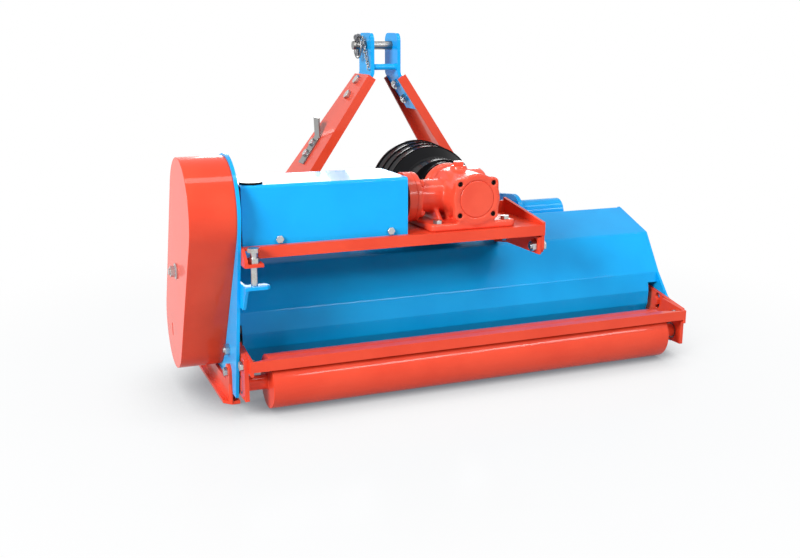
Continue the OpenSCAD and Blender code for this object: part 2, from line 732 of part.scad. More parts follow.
module tension_locknut() color(zinc) on_machine() translate([tension_x, tension_y, tab_top]) difference() {
    cylinder(d = m12 * af_share / cos(30), h = m12 * nut_share, $fn = 6);
    translate([0, 0, -over]) cylinder(d = m12 + 2 * seat_gap, h = m12);
}

// Rotor bearing housings on the outer faces of the side plates
module rotor_bearing() difference() {
    union() {
        rod_x(half_out, half_out + flange_t, rotor_at, 2 * flange_r);
        rod_x(half_out, half_out + bearing_l, rotor_at, boss_d);
    }
    hole_x(half_out, half_out + bearing_l, rotor_at, stub_d + 2 * run_gap);
    for (a = [0 : 90 : 270]) hole_x(half_out, half_out + flange_t, polar(rotor_at, flange_bolt_r,
        a + flange_angle), m10 + 2 * hole_gap);
}
module rotor_bearings() color(steel) on_machine() both_sides() rotor_bearing();

// Skids: sole with a nose that follows the side plate, and a flange on the plate with a round ear
skid_in = 14;
skid_side = half_out - skid_in;
skid_flange_h = 42;
skid_ear_r = 15;
skid_clear = 14;
skid_bend_r = 60;
skid_bend_count = 6;
skid_corner = 20;
chin_way = unit([plate_reach - plate_chin, plate_nose_z - plate_floor]);
chin_out = [chin_way.y, -chin_way.x] * skid_clear;
nose_end = [plate_reach, plate_nose_z] + chin_out;
nose_start = [nose_end.x - nose_end.y * chin_way.x / chin_way.y, 0];
module skid() difference() {
    union() {
        side_view(skid_side, skid_w) polygon(sheet_outline(
            round_path([[skid_rear, 0], nose_start, nose_end], skid_bend_r, skid_bend_count), skid_t));
        side_view(half_out, skid_t) {
            translate([skid_rear, skid_t / 2]) square([skid_bolt_front.x + skid_ear_r - skid_rear,
                skid_flange_h - skid_t / 2]);
            translate(skid_bolt_rear) circle(skid_ear_r);
            translate([skid_bolt_rear.x - skid_ear_r, skid_t / 2])
                square([2 * skid_ear_r, skid_bolt_rear.y - skid_t / 2]);
        }
    }
    translate([skid_side + skid_w, skid_rear, -over]) rotate(45)
        cube([skid_corner, skid_corner, 2 * skid_flange_h], center = true);
    for (p = skid_bolts_at) hole_x(half_out, half_out + skid_t, p, m10 + 2 * hole_gap);
}
module left_skid() color(orange_paint) on_machine() mirror([1, 0, 0]) skid();
module right_skid() color(orange_paint) on_machine() skid();

// Bolts of the rotor bearings, nutted inside, and of the skids, screwed into the side plates
module plate_bolts() color(zinc) on_machine() both_sides() {
    for (a = [0 : 90 : 270]) along_x(half_out + flange_t, polar(rotor_at, flange_bolt_r, a + flange_angle))
        rotate([0, 180, 0]) hex_bolt(m10, flange_t + plate_t);
    for (p = skid_bolts_at) along_x(half_out + skid_t, p) rotate([0, 180, 0])
        hex_bolt(m10, skid_t + plate_t, false);
}

// Front flaps that hang from a rod between the side plates
flap_count = 8;
flap_gap = 3;
flap_margin = 12;
flap_l = 160;
flap_t = 4;
flap_eye_d = 24;
flap_pitch = (inner_w - 2 * flap_margin + flap_gap) / flap_count;
module flap_rod() color(steel) on_machine() rod_x(-half_out, half_out, flap_rod_at, flap_rod_d);
module front_flaps() color(blue_paint) on_machine() for (i = [0 : flap_count - 1]) {
    x = -half_in + flap_margin + i * flap_pitch;
    difference() {
        union() {
            rod_x(x, x + flap_pitch - flap_gap, flap_rod_at, flap_eye_d);
            translate([x, flap_rod_at.x + flap_eye_d / 2 - flap_t, flap_rod_at.y - flap_l])
                cube([flap_pitch - flap_gap, flap_t, flap_l]);
        }
        hole_x(x, x + flap_pitch, flap_rod_at, flap_rod_d + 2 * seat_gap);
    }
}

// Belts of wedge section, and pulleys whose grooves take them
belt_foot_w = belt_top_w - 2 * belt_h * tan(belt_angle);
groove_gap = 1;
function groove(r, z) = let (mouth = belt_top_w / 2 - belt_proud * tan(belt_angle) + seat_gap)
    let (foot = belt_foot_w / 2 + seat_gap, floor_r = r + belt_proud - belt_h - groove_gap)
    [[r, z - mouth], [floor_r, z - foot], [floor_r, z + foot], [r, z + mouth]];
module pulley(d, bore) rotate_extrude() polygon(concat([[bore / 2 + run_gap, 0], [d / 2, 0]],
    [for (i = [0 : belt_count - 1]) each groove(d / 2, pulley_side + i * belt_pitch)],
    [[d / 2, pulley_w], [bore / 2 + run_gap, pulley_w]]));
belt_step_count = 24;
belt_corners = [[-belt_h, -belt_foot_w / 2], [0, -belt_top_w / 2], [0, belt_top_w / 2],
    [-belt_h, belt_foot_w / 2]];
module belt_loop(low_r, high_r, span) {
    wrap = acos((low_r - high_r) / span);
    stations = concat(
        [for (i = [0 : belt_step_count]) [0, low_r, lerp(wrap, 360 - wrap, i / belt_step_count)]],
        [for (i = [0 : belt_step_count]) [span, high_r, lerp(-wrap, wrap, i / belt_step_count)]]);
    count = len(stations);
    polyhedron(points = [for (s = stations, c = belt_corners)
            [s[0] + (s[1] + c.x) * cos(s[2]), (s[1] + c.x) * sin(s[2]), c.y]],
        faces = [for (i = [0 : count - 1], j = [0 : 3]) let (k = (i + 1) % count, m = (j + 1) % 4)
            [4 * i + j, 4 * i + m, 4 * k + m, 4 * k + j]]);
}
module v_belts() {
    way = shaft_at - rotor_at;
    color(rubber) on_machine() for (i = [0 : belt_count - 1])
        translate([pulley_x + pulley_side + i * belt_pitch, rotor_at.x, rotor_at.y]) rotate([90, 0, 90])
            rotate(atan2(way.y, way.x)) belt_loop(lower_d / 2 + belt_proud, upper_d / 2 + belt_proud,
                norm(way));
}
module upper_pulley() color(steel) on_machine() along_x(pulley_x, shaft_at) pulley(upper_d, shaft_d);
module lower_pulley() color(steel) on_machine() along_x(pulley_x, rotor_at) pulley(lower_d, stub_d);

// Drive shaft from the gearbox to the upper pulley
shaft_bury = 34;
module drive_shaft() color(steel) on_machine() rod_x(pulley_x, input_x - shaft_bury, shaft_at, shaft_d);

// Outboard bearing on the left end of the drive frame
outboard_w = 112;
outboard_h = 82;
outboard_round = 12;
outboard_t = 10;
outboard_l = 28;
outboard_boss_d = 58;
module outboard_bearing() {
    x = end_x + frame_t;
    color(steel) on_machine() difference() {
        union() {
            side_view(x, outboard_t) translate(shaft_at) rounded_rect(outboard_w, outboard_h,
                outboard_round);
            rod_x(x, x + outboard_l, shaft_at, outboard_boss_d);
        }
        hole_x(x, x + outboard_l, shaft_at, shaft_d + 2 * run_gap);
        for (p = frame_bolts_at) hole_x(x, x + outboard_t, p, m10 + 2 * hole_gap);
    }
}

// Drive frame: folded tray with an end plate on the left and a gusset with two legs on the right
end_half = 67;
end_fore = shaft_ahead + end_half;
end_rear = shaft_ahead - end_half;
end_top = shaft_z + outboard_h / 2 + over;
tab_w = 34;
lip_gap = 12;
lip_x = tension_x + lip_gap;
gusset_low = 5;
gusset_high = 31;
gusset_flange = 30;
cover_half = 73;
cover_rear = shaft_ahead - cover_half;
cover_bolt_in = [73, 285];
cover_bolt_rise = 9;
cover_bolt_z = frame_top + cover_bolt_rise;
ear_w = 26;
ear_h = 20;
ear_t = 6;
foot_bolt_out = [76, 67];
foot_bolt_ends = [63, 50];
module foot_bolt_places() for (x = [input_x - foot_bolt_out[0], input_x + foot_bolt_out[1]],
    y = [shaft_ahead - foot_bolt_ends[0], shaft_ahead + foot_bolt_ends[1]]) translate([x, y, frame_top])
        children();
module drive_frame() color(orange_paint) on_machine() difference() {
    union() {
        translate([end_x, frame_rear, frame_top - frame_t])
            cube([frame_right_x - end_x, frame_fore - frame_rear, frame_t]);
        translate([lip_x, frame_rear, frame_top - lip_h]) cube([frame_right_x - lip_x, frame_t, lip_h]);
        translate([end_x, frame_fore - frame_t, frame_top - lip_h])
            cube([frame_right_x - end_x, frame_t, lip_h]);
        side_view(end_x, frame_t) polygon([[tab_rear, tab_top - frame_t], [end_fore, tab_top - frame_t],
            [end_fore, end_top],
            [end_rear, end_top], [end_rear, frame_top], [frame_rear, frame_top],
                [tab_rear, tab_top + frame_t]]);
        translate([end_x, tab_rear, tab_top - frame_t]) cube([tab_w, frame_rear - tab_rear, frame_t]);
        side_view(frame_right_x, frame_t) {
            polygon([[frame_rear, frame_top - lip_h], [frame_rear, frame_top + gusset_low],
                [frame_fore, frame_top + gusset_high], [frame_fore, frame_top - lip_h]]);
            for (p = legs_at) {
                translate(p) circle(leg_r);
                translate(p - [leg_r, 0]) square([2 * leg_r, leg_drop - lip_h]);
            }
        }
        translate([frame_right_x + frame_t - gusset_flange, frame_fore - frame_t, frame_top])
            cube([gusset_flange, frame_t, gusset_high - frame_t]);
        for (x = cover_bolt_in) translate([end_x + x - ear_w / 2, cover_rear + cover_t + seat_gap,
            frame_top])
            cube([ear_w, ear_t, ear_h]);
    }
    hole_x(end_x, end_x + frame_t, shaft_at, shaft_slot_d);
    for (p = frame_bolts_at) hole_x(end_x, end_x + frame_t, p, m10 + 2 * hole_gap);
    for (p = legs_at) hole_x(frame_right_x, frame_right_x + frame_t, p, m12 + 2 * hole_gap);
    for (x = cover_bolt_in) rod_y(end_x + x, cover_rear, cover_rear + cover_half / 2, cover_bolt_z, m8 + 2
        * hole_gap);
    translate([tension_x, tension_y, tab_top - frame_t - over]) cylinder(d = m12 + 2 * hole_gap, h = frame_t
        + 2 * over);
    foot_bolt_places() translate([0, 0, -frame_t - over]) cylinder(d = m10 + 2 * hole_gap, h = frame_t + 2
        * over);
}

// Bolts of the end plate, in slots of the side plate, and of the gusset, in slots of the support lug
module frame_bolts() color(zinc) on_machine() {
    for (p = frame_bolts_at) along_x(end_x + frame_t + outboard_t, p) rotate([0, 180, 0])
        hex_bolt(m10, outboard_t + frame_t + 2 * seat_gap + plate_t);
    for (p = legs_at) along_x(frame_right_x + frame_t, p) rotate([0, 180, 0])
        hex_bolt(m12, frame_t + 2 * seat_gap + support_t);
}

// Sheet cover over the drive shaft
cover_x = end_x + frame_t + seat_gap;
cover_end = 141;
cover_bend_r = 6;
plug_d = 42;
plug_t = 4;
plug_stem_d = 30;
plug_stem_l = 6;
plug_inset = 24;
plug_at = [cover_x + plug_inset, cover_rear + plug_inset];
module shaft_cover() {
    high = frame_top + cover_h;
    path = [[cover_rear, frame_top], [cover_rear, high], [cover_rear + 2 * cover_half, high],
        [cover_rear + 2 * cover_half, frame_top]];
    color(blue_paint) on_machine() difference() {
        side_view(cover_x, input_x - cover_end - cover_x)
            polygon(sheet_outline(round_path(path, cover_bend_r, bend_count), -cover_t));
        for (x = cover_bolt_in) rod_y(end_x + x, cover_rear - over, cover_rear + cover_half, cover_bolt_z,
            m8 + 2 * hole_gap);
        translate([plug_at.x, plug_at.y, high - cover_h / 2]) cylinder(d = plug_stem_d + 2 * seat_gap,
            h = cover_h);
    }
}
module cover_bolts() color(zinc) on_machine() for (x = cover_bolt_in)
    along_y(end_x + x, cover_rear, cover_bolt_z) hex_bolt(m8, cover_t + seat_gap + ear_t);
module cover_plug() color(black_plastic) on_machine() translate([plug_at.x, plug_at.y, frame_top + cover_h])
    {
    cylinder(d = plug_d, h = plug_t);
    translate([0, 0, -plug_stem_l]) cylinder(d = plug_stem_d, h = plug_stem_l + plug_t / 2);
}

// Gearbox housing: two crossed barrels on a foot plate, with a square rear flange and round side flanges
box_rear = shaft_ahead - box_back;
box_fore = shaft_ahead + box_front;
box_right = 42;
box_left = 39;
neck_d = 64;
neck_end = 98;
side_flange_d = 96;
side_flange_t = 12;
out_flange_t = 16;
rear_flange_w = 92;
rear_flange_h = 82;
rear_flange_round = 12;
rear_flange_t = 14;
rear_bolt_w = 35;
rear_bolt_h = 30;
rear_bolt_depth = 10;
fore_flange_d = 108;
fore_flange_t = 12;
foot_left = 94;
foot_right = 86;
foot_t = 14;
foot_rear_inset = 2;
foot_round = 12;
lid_d = 70;
lid_t = 5;
top_boss_d = 32;
top_boss_h = 56;
top_boss_x = 4;
journal_d = 40;
journal_l = 60;
box_bolt_share = 0.84;
rib_t = 10;
module out_bolt_places() for (a = [45 : 90 : 315]) {
    p = polar(shaft_at, side_flange_d / 2 * box_bolt_share, a);
    along_x(-neck_end - side_flange_t - out_flange_t, p) children();
}
module gearbox_housing() color(orange_paint) on_machine() at_input() difference() {
    union() {
        rod_y(0, box_rear, box_fore, shaft_z, box_d - 2 * seat_gap);
        rod_x(-box_left, box_right, shaft_at, box_d);
        rod_x(-neck_end, 0, shaft_at, neck_d);
        rod_x(-neck_end - side_flange_t, -neck_end, shaft_at, side_flange_d);
        rear_view(box_rear, rear_flange_t) translate([0, shaft_z]) rounded_rect(rear_flange_w,
            rear_flange_h, rear_flange_round);
        rod_y(0, box_fore - fore_flange_t, box_fore, shaft_z, fore_flange_d);
        translate([(foot_right - foot_left) / 2, (box_rear + box_fore) / 2, frame_top])
            linear_extrude(foot_t)
            rounded_rect(foot_left + foot_right, box_fore - box_rear - 2 * foot_rear_inset, foot_round);
        side_view(-neck_end + neck_d / 2, rib_t)
            polygon([[box_rear + foot_rear_inset + foot_round, frame_top],
            [box_fore - foot_rear_inset - foot_round, frame_top], shaft_at]);
        translate([-top_boss_x, shaft_ahead, shaft_z]) cylinder(d = top_boss_d, h = top_boss_h);
    }
    rod_y(0, box_rear - over, box_rear + lid_t, shaft_z, lid_d + 2 * seat_gap);
    for (sx = [-1, 1], sz = [-1, 1])
        rod_y(sx * rear_bolt_w, box_rear - over, box_rear + rear_bolt_depth, shaft_z + sz * rear_bolt_h,
            m10);
    rod_y(0, box_fore - journal_l, box_fore + over, shaft_z, journal_d + 2 * run_gap);
    hole_x(-neck_end - side_flange_t, -shaft_bury, shaft_at, shaft_d + 2 * run_gap);
    out_bolt_places() cylinder(d = m8 + 2 * hole_gap, h = out_flange_t + side_flange_t + over);
    translate([-top_boss_x, shaft_ahead, shaft_z + top_boss_h - foot_t]) cylinder(d = m12 + 2 * hole_gap,
        h = foot_t + over);
    translate([-input_x, 0, 0]) foot_bolt_places() translate([0, 0, -over]) cylinder(d = m10 + 2 * hole_gap,
        h = foot_t + 2 * over);
}
module gearbox_cover() color(orange_paint) on_machine() rod_y(input_x, box_rear, box_rear + lid_t, shaft_z,
    lid_d);
module output_flange() color(orange_paint) on_machine() at_input() difference() {
    rod_x(-neck_end - side_flange_t - out_flange_t, -neck_end - side_flange_t, shaft_at, side_flange_d);
    hole_x(-neck_end - side_flange_t - out_flange_t, -neck_end, shaft_at, shaft_d + 2 * run_gap);
    out_bolt_places() translate([0, 0, -over]) cylinder(d = m8 + 2 * hole_gap, h = out_flange_t + 2 * over);
}
module filler_plug() color(zinc) on_machine() at_input() translate([-top_boss_x, shaft_ahead, shaft_z
    + top_boss_h])
    rotate([180, 0, 0]) hex_bolt(m12, foot_t - over, false);
module gearbox_bolts() color(zinc) on_machine() {
    at_input() out_bolt_places() hex_bolt(m8, out_flange_t + side_flange_t);
    foot_bolt_places() translate([0, 0, foot_t]) rotate([180, 0, 0]) hex_bolt(m10, foot_t + frame_t);
}

// Splined input shaft with its locking groove
spline_root_share = 0.85;
spline_tooth_share = 0.25;
spline_count = 6;
spline_groove_w = 8;
spline_groove_from = 38;
bearing_step = 8;
module input_shaft() color(steel) on_machine() along_y(input_x, box_fore - journal_l, shaft_z) {
    root = spline_d * spline_root_share;
    cylinder(d = journal_d, h = journal_l + bearing_step);
    difference() {
        translate([0, 0, journal_l]) linear_extrude(spline_l) {
            circle(d = root);
            intersection() {
                circle(d = spline_d);
                for (i = [0 : spline_count - 1]) rotate(i * 360 / spline_count)
                    translate([0, -spline_d * spline_tooth_share / 2])
                        square([spline_d, spline_d * spline_tooth_share]);
            }
        }
        translate([0, 0, journal_l + spline_l - spline_groove_from]) difference() {
            cylinder(d = spline_d + over, h = spline_groove_w);
            cylinder(d = root, h = spline_groove_w);
        }
    }
}

// Plastic bell that guards the input shaft, with ribs round its drum and a latch
bell_t = 3;
bell_neck_r = 55;
bell_neck_l = 18;
bell_collar_r = 78;
bell_shoulder_r = 80;
bell_shoulder_l = 56;
bell_drum_l = 80;
bell_taper = 6;
bell_drop = 20;
bell_rib = 2;
bell_rib_count = 4;
bell_rib_w = 4;
bell_ring_r = 44;
bell_flat = 66;
latch_size = [16, 26, 9];
latch_angle = 40;
module input_guard() {
    drum_r = bell_r - bell_rib;
    path = [[bell_collar_r, bell_neck_l], [bell_shoulder_r, bell_shoulder_l],
        [drum_r - bell_taper, bell_drum_l], [drum_r, bell_l]];
    rib_step = (bell_l - bell_drum_l - bell_rib_w) / (bell_rib_count - 1);
    color(black_plastic) on_machine() {
        along_y(input_x, box_fore, shaft_z) rotate_extrude() {
            translate([bell_ring_r, 0]) square([bell_neck_r - bell_ring_r, bell_t]);
            translate([bell_neck_r - bell_t, 0]) square([bell_t, bell_neck_l + bell_t]);
        }
        difference() {
            along_y(input_x, box_fore, shaft_z - bell_drop) {
                rotate_extrude() {
                    polygon(sheet_outline(path, bell_t));
                    translate([0, bell_neck_l]) square([bell_collar_r, bell_t]);
                    for (i = [0 : bell_rib_count - 1]) translate([drum_r - bell_t
                        - bell_taper * (1 - i / (bell_rib_count - 1)), bell_drum_l + i * rib_step])
                        square([bell_t + bell_rib, bell_rib_w]);
                }
                rotate(-latch_angle) translate([drum_r - bell_t, -latch_size.x / 2, bell_l - latch_size.y])
                    cube([latch_size.z - bell_rib, latch_size.x, latch_size.y]);
                intersection() {
                    rotate_extrude() polygon(concat([[0, bell_neck_l]], path, [[0, bell_l]]));
                    bell_floor(bell_flat - bell_t, bell_t);
                }
            }
            along_y(input_x, box_fore + bell_neck_l - over, shaft_z)
                cylinder(r = bell_neck_r - bell_t, h = bell_t + 2 * over);
            along_y(input_x, box_fore, shaft_z - bell_drop) bell_floor(bell_flat, bell_r);
        }
    }
}
// A flat across the bell, below its axis
module bell_floor(y, t) translate([-bell_r, y, -over]) cube([2 * bell_r, t, bell_l + 2 * over]);

// Rotor: tube with end discs, stub shafts and a pair of lugs for each flail
rotor_gap = 22;
rotor_half = half_in - rotor_gap;
disc_t = 10;
flail_pitch = 51;
neck_w = 31;
lug_clear = 0.5;
lug_t = 6;
lug_r = 10;
lug_root = 14;
row_angles = [270, 30, 150];
rows = len(row_angles);
function flail_x(i) = (i - (flail_count - 1) / 2) * flail_pitch;
function row_pivot(k) = polar(rotor_at, pivot_r, row_angles[k]);
module rotor() color(steel) on_machine() difference() {
    union() {
        rod_x(-rotor_half, rotor_half, rotor_at, rotor_d);
        rod_x(pulley_x, half_out + bearing_l, rotor_at, stub_d);
        for (i = [0 : flail_count - 1], side = [-neck_w / 2 - lug_clear - lug_t, neck_w / 2 + lug_clear])
            side_view(flail_x(i) + side, lug_t) translate(rotor_at) rotate(row_angles[i % rows])
                difference() {
                union() {
                    polygon([[0, -lug_root], [pivot_r, -lug_r], [pivot_r, lug_r], [0, lug_root]]);
                    translate([pivot_r, 0]) circle(lug_r);
                }
                translate([pivot_r, 0]) circle(d = flail_bolt_d + 2 * run_gap);
            }
    }
    rod_x(-rotor_half + disc_t, rotor_half - disc_t, rotor_at, rotor_d - 2 * rotor_wall);
}
module flail_bolts() color(zinc) on_machine() for (i = [0 : flail_count - 1])
    along_x(flail_x(i) - neck_w / 2 - lug_clear - lug_t, row_pivot(i % rows)) hex_bolt(flail_bolt_d, neck_w
        + 2 * lug_clear + 2 * lug_t);

// Hammer flails that hang from their pivots, with a bevelled cutting edge
flail_eye_r = 12;
flail_neck_l = 20;
flail_flare = 27;
flail_bevel = 7;
flail_edge = 2;
module flail() difference() {
    union() {
        rod_x(-neck_w / 2, neck_w / 2, [0, 0], 2 * flail_eye_r);
        intersection() {
            rear_view(-flail_t / 2, flail_t) polygon([[-neck_w / 2, 0], [-neck_w / 2, -flail_neck_l],
                [-flail_w / 2, -flail_flare],
                [-flail_w / 2, -flail_l], [flail_w / 2, -flail_l], [flail_w / 2, -flail_flare],
                    [neck_w / 2, -flail_neck_l],
                [neck_w / 2, 0]]);
            side_view(-flail_w / 2, flail_w) polygon([[-flail_t / 2, 0], [flail_t / 2, 0],
                [flail_t / 2, -flail_l],
                [flail_t / 2 - flail_edge, -flail_l], [-flail_t / 2, -flail_l + flail_bevel]]);
        }
    }
    hole_x(-neck_w / 2, neck_w / 2, [0, 0], flail_bolt_d + 2 * run_gap);
}
module flail_row(k) color(steel) on_machine() for (i = [k : rows : flail_count - 1])
    translate([flail_x(i), row_pivot(k).x, row_pivot(k).y]) flail();
module flails_a() flail_row(0);
module flails_b() flail_row(1);
module flails_c() flail_row(2);

// Roller arms inside the side plates, with a slot for the height bolt
arm_gap = 2;
arm_x = half_in - arm_gap - arm_t;
arm_pivot_r = 28;
arm_heel = 24;
arm_under = 23;
arm_toe = 36;
arm_crotch = 45;
arm_slot_l = 20;
arm_slot_gap = 1.4;
bar_bolt_back = 12;
bar_bolt_drop = 13;
bar_bolt_at = [-bar_bolt_back, bar_z - bar_bolt_drop];
module roller_arm() difference() {
    side_view(arm_x, arm_t) difference() {
        union() {
            translate(arm_pivot_at) circle(arm_pivot_r);
            polygon([arm_pivot_at + [0, arm_pivot_r], [-arm_heel, bar_z], [-arm_heel, roller_r - arm_under],
                [arm_toe, roller_r - arm_under], [arm_crotch, arm_pivot_z - arm_pivot_r],
                arm_pivot_at - [0, arm_pivot_r]]);
        }
        translate(arm_pivot_at) circle(d = m12 + 2 * run_gap);
        translate(set_bolt_at - [0, arm_slot_l / 2]) slot_up([0, 0], m12 + 2 * arm_slot_gap, arm_slot_l);
        translate(roller_at) circle(d = roller_bush_d + 2 * seat_gap);
        translate(bar_bolt_at) circle(d = m10 + 2 * hole_gap);
    }
}
module left_roller_arm() color(orange_paint) on_machine() mirror([1, 0, 0]) roller_arm();
module right_roller_arm() color(orange_paint) on_machine() roller_arm();

// Rear bar: an angle with cut corners and an end plate bolted to each arm
bar_cut = 55;
bar_end_t = 6;
bar_end_fore = 38;
bar_end_rise = 10;
bar_end_low = 28;
module roller_bar() color(orange_paint) on_machine() {
    translate([-arm_x, -bar_back, bar_z - bar_h]) cube([2 * arm_x, bar_t, bar_h]);
    translate([0, -bar_back, bar_z - bar_t]) linear_extrude(bar_t)
        polygon([[-arm_x, 0], [arm_x, 0], [arm_x - bar_cut, bar_w],
        [-arm_x + bar_cut, bar_w]]);
    both_sides() difference() {
        side_view(arm_x - bar_end_t, bar_end_t) polygon([[-bar_back, bar_z],
            [bar_end_fore, bar_z + bar_end_rise], [bar_end_fore, bar_z - bar_end_rise],
            [0, bar_z - bar_h], [-bar_back, bar_z - bar_end_low]]);
        hole_x(arm_x - bar_end_t, arm_x, bar_bolt_at, m10 + 2 * hole_gap);
    }
}
module bar_bolts() color(zinc) on_machine() both_sides() along_x(arm_x + arm_t, bar_bolt_at)
    rotate([0, 180, 0])
    hex_bolt(m10, arm_t + bar_end_t);

// Bushes of the roller in the bores of the arms
roller_bush_t = 3;
roller_bush_d = roller_stub_d + 2 * roller_bush_t;
module roller_bearings() color(steel) on_machine() both_sides() difference() {
    rod_x(arm_x, arm_x + arm_t, roller_at, roller_bush_d);
    hole_x(arm_x, arm_x + arm_t, roller_at, roller_stub_d + 2 * run_gap);
}

// Pivot and height bolts of the roller arms
module arm_bolts() color(zinc) on_machine() both_sides() for (p = [arm_pivot_at, set_bolt_at])
    along_x(arm_x - seat_gap, p) hex_bolt(m12, seat_gap + arm_t + arm_gap + plate_t);

// Ground roller: tube with end discs and stub shafts
module roller() color(orange_paint) on_machine() difference() {
    union() {
        rod_x(-roller_l / 2, roller_l / 2, roller_at, roller_d);
        rod_x(-arm_x - arm_t, arm_x + arm_t, roller_at, roller_stub_d);
    }
    rod_x(-roller_l / 2 + disc_t, roller_l / 2 - disc_t, roller_at, roller_d - 2 * roller_wall);
}

left_side_plate();
right_side_plate();
hood();
frame_support();
cross_tube();
left_hitch_arm();
right_hitch_arm();
lower_link_pins();
left_upright();
right_upright();
left_top_plate();
right_top_plate();
spacer_tube();
top_link_pin();
linchpin();
linchpin_ring();
linchpin_chain();
shaft_holder();
hitch_bolts();
belt_guard();
guard_stud();
guard_nut();
tension_bracket();
tension_bolt();
tension_locknut();
rotor_bearings();
plate_bolts();
left_skid();
right_skid();
flap_rod();
front_flaps();
v_belts();
upper_pulley();
lower_pulley();
drive_shaft();
outboard_bearing();
drive_frame();
frame_bolts();
shaft_cover();
cover_bolts();
cover_plug();
gearbox_housing();
gearbox_cover();
output_flange();
filler_plug();
gearbox_bolts();
input_shaft();
input_guard();
rotor();
flail_bolts();
flails_a();
flails_b();
flails_c();
left_roller_arm();
right_roller_arm();
roller_bar();
roller_bearings();
arm_bolts();
bar_bolts();
roller();
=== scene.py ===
import json
import math

import bpy
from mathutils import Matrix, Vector

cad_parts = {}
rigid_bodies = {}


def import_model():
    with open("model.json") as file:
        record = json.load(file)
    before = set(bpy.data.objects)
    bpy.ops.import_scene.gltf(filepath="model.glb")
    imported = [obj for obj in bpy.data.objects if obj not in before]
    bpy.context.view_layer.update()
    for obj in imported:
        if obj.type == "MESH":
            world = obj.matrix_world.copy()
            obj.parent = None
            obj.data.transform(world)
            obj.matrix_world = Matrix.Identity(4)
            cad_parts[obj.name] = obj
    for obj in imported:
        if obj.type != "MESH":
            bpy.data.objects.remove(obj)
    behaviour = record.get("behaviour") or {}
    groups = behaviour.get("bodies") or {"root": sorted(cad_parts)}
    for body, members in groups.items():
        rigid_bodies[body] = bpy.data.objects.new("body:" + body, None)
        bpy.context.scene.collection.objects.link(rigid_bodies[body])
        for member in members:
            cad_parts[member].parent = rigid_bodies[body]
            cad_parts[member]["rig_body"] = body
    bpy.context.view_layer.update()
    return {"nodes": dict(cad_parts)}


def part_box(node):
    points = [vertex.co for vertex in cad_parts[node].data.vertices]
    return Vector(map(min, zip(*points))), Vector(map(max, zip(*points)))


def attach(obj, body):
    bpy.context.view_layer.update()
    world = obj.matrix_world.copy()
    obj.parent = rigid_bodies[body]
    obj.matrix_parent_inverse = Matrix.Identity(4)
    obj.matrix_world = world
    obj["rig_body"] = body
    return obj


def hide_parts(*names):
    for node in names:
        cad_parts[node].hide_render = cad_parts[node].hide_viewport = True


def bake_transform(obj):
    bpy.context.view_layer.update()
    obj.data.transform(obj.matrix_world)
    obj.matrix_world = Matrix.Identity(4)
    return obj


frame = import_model()


# The camera stands behind the machine, to its left and a little above it. Its lens and
# its angles come from the straight edges of the machine in the picture.
tilted_down, turned_right = 13.55, 21.93
bpy.ops.object.select_all(action="DESELECT")
bpy.ops.object.camera_add(
    location=(-0.8295, -2.0060, 0.6743),
    rotation=(math.radians(90 - tilted_down), 0, math.radians(-turned_right)),
)
camera = bpy.context.object
camera.name = "photo_camera"
camera.data.sensor_width = 36
camera.data.lens = 45
bpy.context.scene.camera = camera
bpy.context.scene.view_settings.view_transform = "Standard"


# The studio: a white sweep with a soft cool shadow painted into its glow, the main lamp
# high on the left so that the guard shades the near end of the hood, and weak ones round about.
class Shade:
    """A value in a material's node tree. Sums and products of values add Math nodes."""

    def __init__(self, tree, socket=None):
        self.tree = tree
        self.socket = socket

    def node(self, kind, settings, inputs, out=0):
        """Adds a node of a kind, with its settings and its sockets' values or links."""
        made = self.tree.nodes.new(kind)
        for key, value in settings.items():
            if key == "stops":
                ramp = made.color_ramp.elements
                while len(ramp) < len(value):
                    ramp.new(0.5)
                for stop, (place, colour) in zip(ramp, value):
                    stop.position = place
                    stop.color = (*colour, 1)
            else:
                setattr(made, key, value)
        for key, value in inputs.items():
            if isinstance(value, Shade):
                self.tree.links.new(value.socket, made.inputs[key])
            else:
                made.inputs[key].default_value = value
        return Shade(self.tree, made.outputs[out] if made.outputs else None)

    def math(self, operation, a, b=0):
        return self.node("ShaderNodeMath", {"operation": operation}, {0: a, 1: b})

    def __add__(self, other):
        return self.math("ADD", self, other)

    def __sub__(self, other):
        return self.math("SUBTRACT", self, other)

    def __rsub__(self, other):
        return self.math("SUBTRACT", other, self)

    def __mul__(self, other):
        return self.math("MULTIPLY", self, other)

    __radd__ = __add__
    __rmul__ = __mul__

    def between(self, low, high):
        """Rises smoothly from 0 where this value is low to 1 where it is high."""
        return self.node("ShaderNodeMapRange", {"interpolation_type": "SMOOTHSTEP"},
                         {"Value": self, "From Min": low, "From Max": high})

    def tint(self, first, second):
        """The first colour where this value is 0, and the second where it is 1."""
        first, second = (c if isinstance(c, Shade) else (*c, 1) for c in (first, second))
        return self.node("ShaderNodeMix", {"data_type": "RGBA"},
                         {0: self, 6: first, 7: second}, 2)


def seen_rays(s):
    """1 for the rays that show the studio itself: straight, mirrored or through glass."""
    straight, mirrored, through = (
        s.node("ShaderNodeLightPath", {}, {}, f"Is {ray} Ray")
        for ray in ("Camera", "Glossy", "Transmission")
    )
    return s.math("MINIMUM", straight + mirrored + through, 1)


def new_finish(name):
    """An empty material, its tree, and the place on the piece that a pattern reads."""
    made = bpy.data.materials.new(name)
    made.use_nodes = True
    made.node_tree.nodes.clear()
    s = Shade(made.node_tree)
    return made, s, s.node("ShaderNodeTexCoord", {}, {}, "Object")


